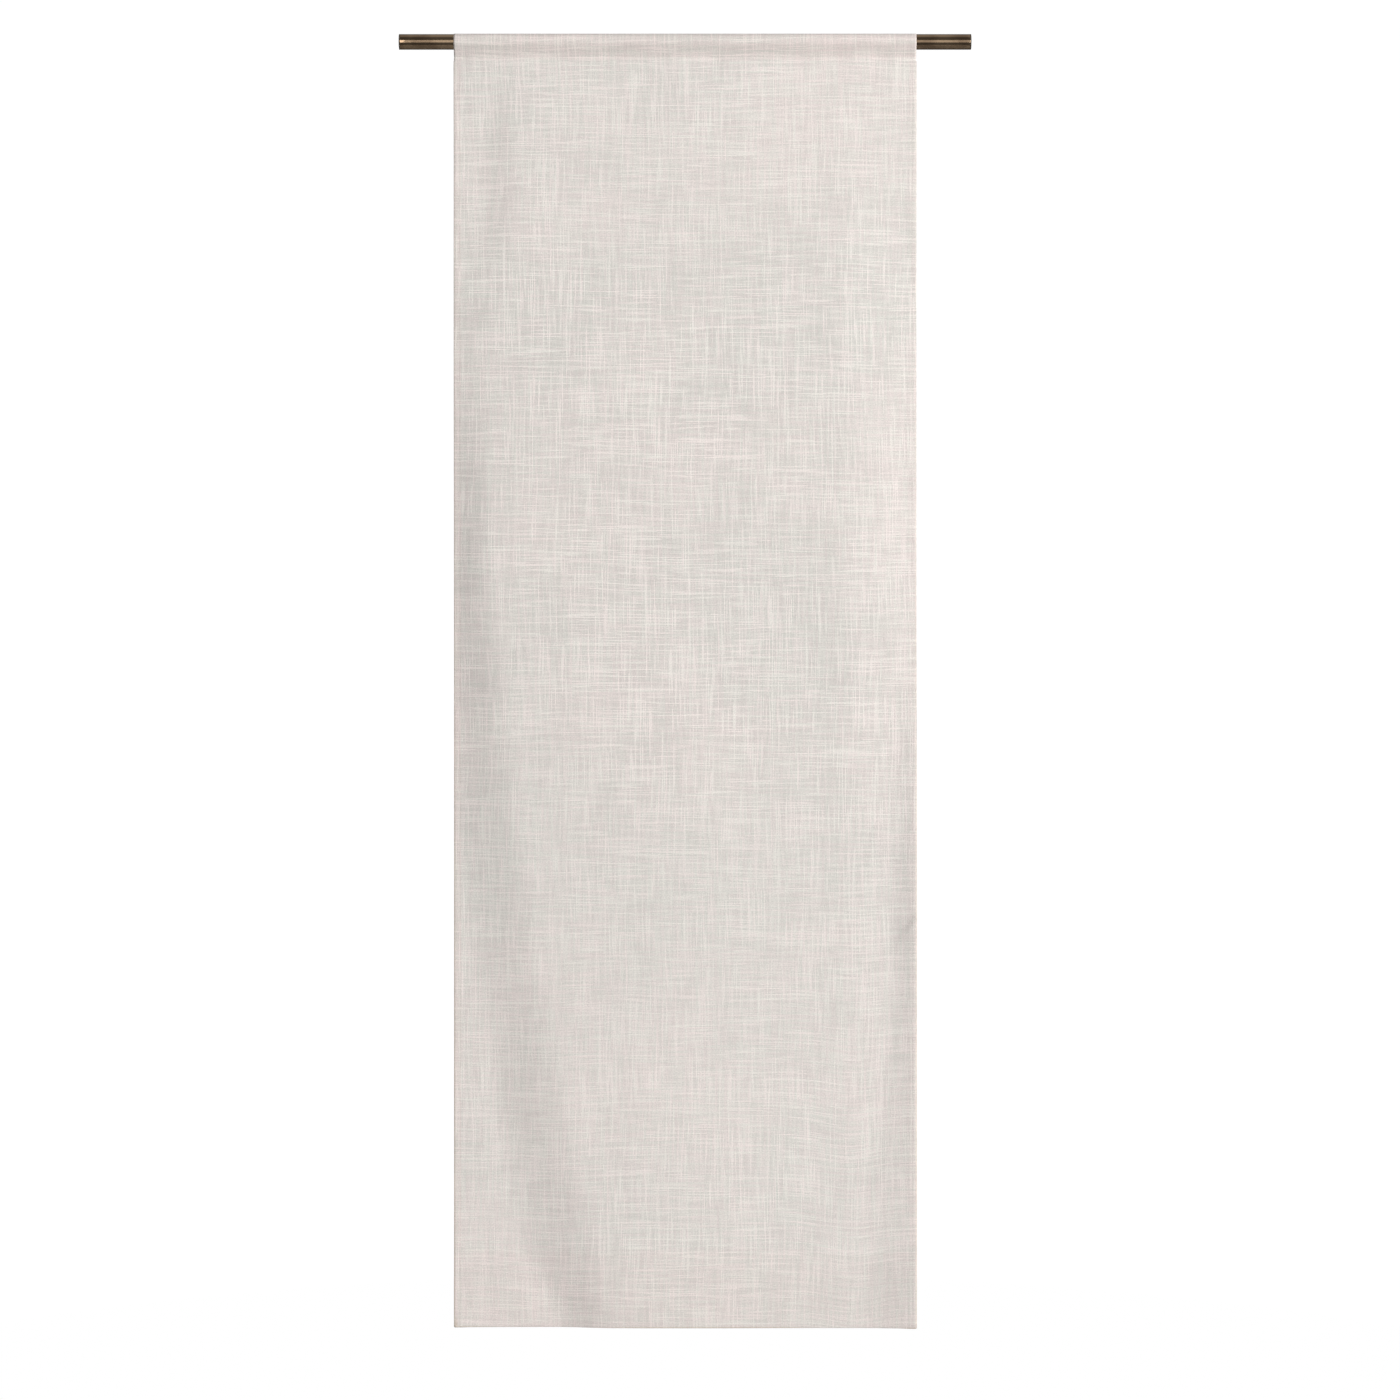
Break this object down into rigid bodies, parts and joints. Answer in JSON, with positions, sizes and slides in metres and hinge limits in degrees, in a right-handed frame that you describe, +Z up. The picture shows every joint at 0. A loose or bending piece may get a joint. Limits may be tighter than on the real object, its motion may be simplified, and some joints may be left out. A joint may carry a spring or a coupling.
{
  "type": "fabric room curtain panel",
  "caption": "Flat-hung rod-pocket curtain panel of slubbed linen-look cloth, threaded on a plain bronzed curtain rod.",
  "frame": {"origin": "on the curtain rod's axis, halfway along the rod", "axes": "+X along the rod to the curtain's right-hand end as seen from the front, -Y out of the curtain's face, +Z up; the cloth hangs down along -Z"},
  "size_m": [0.943, 0.0336, 2.134],
  "materials": {
    "slub_cloth": "matte",
    "sewing_thread": "satin",
    "bronzed_steel": "satin",
    "plug_plastic": "matte",
    "label_tape": "satin"
  },
  "bodies": {
    "rod": {"rod_tube": "bronzed_steel", "rod_end_plug_left": "plug_plastic", "rod_end_plug_right": "plug_plastic"},
    "header": {"rod_pocket": "slub_cloth", "pocket_needle_thread": "sewing_thread", "pocket_bobbin_thread": "sewing_thread", "pocket_bartack_left": "sewing_thread", "pocket_bartack_right": "sewing_thread"},
    "panel": {"face_panel": "slub_cloth", "side_hem_left": "slub_cloth", "side_hem_right": "slub_cloth", "bottom_hem": "slub_cloth", "side_hem_needle_thread_left": "sewing_thread", "side_hem_needle_thread_right": "sewing_thread", "side_hem_bobbin_thread_left": "sewing_thread", "side_hem_bobbin_thread_right": "sewing_thread", "bottom_hem_needle_thread": "sewing_thread", "bottom_hem_bobbin_thread": "sewing_thread", "care_label": "label_tape", "care_label_thread": "sewing_thread"}
  },
  "joints": [
    {"name": "header_slide", "type": "slide", "parent": "rod", "child": "header", "axis": [1, 0, 0], "range_m": [-0.075, 0.075]},
    {"name": "panel_swing", "type": "hinge", "parent": "header", "child": "panel", "pos_m": [0, -0.00055, -0.0292], "axis": [1, 0, 0], "range_deg": [-40, 40]}
  ]
}
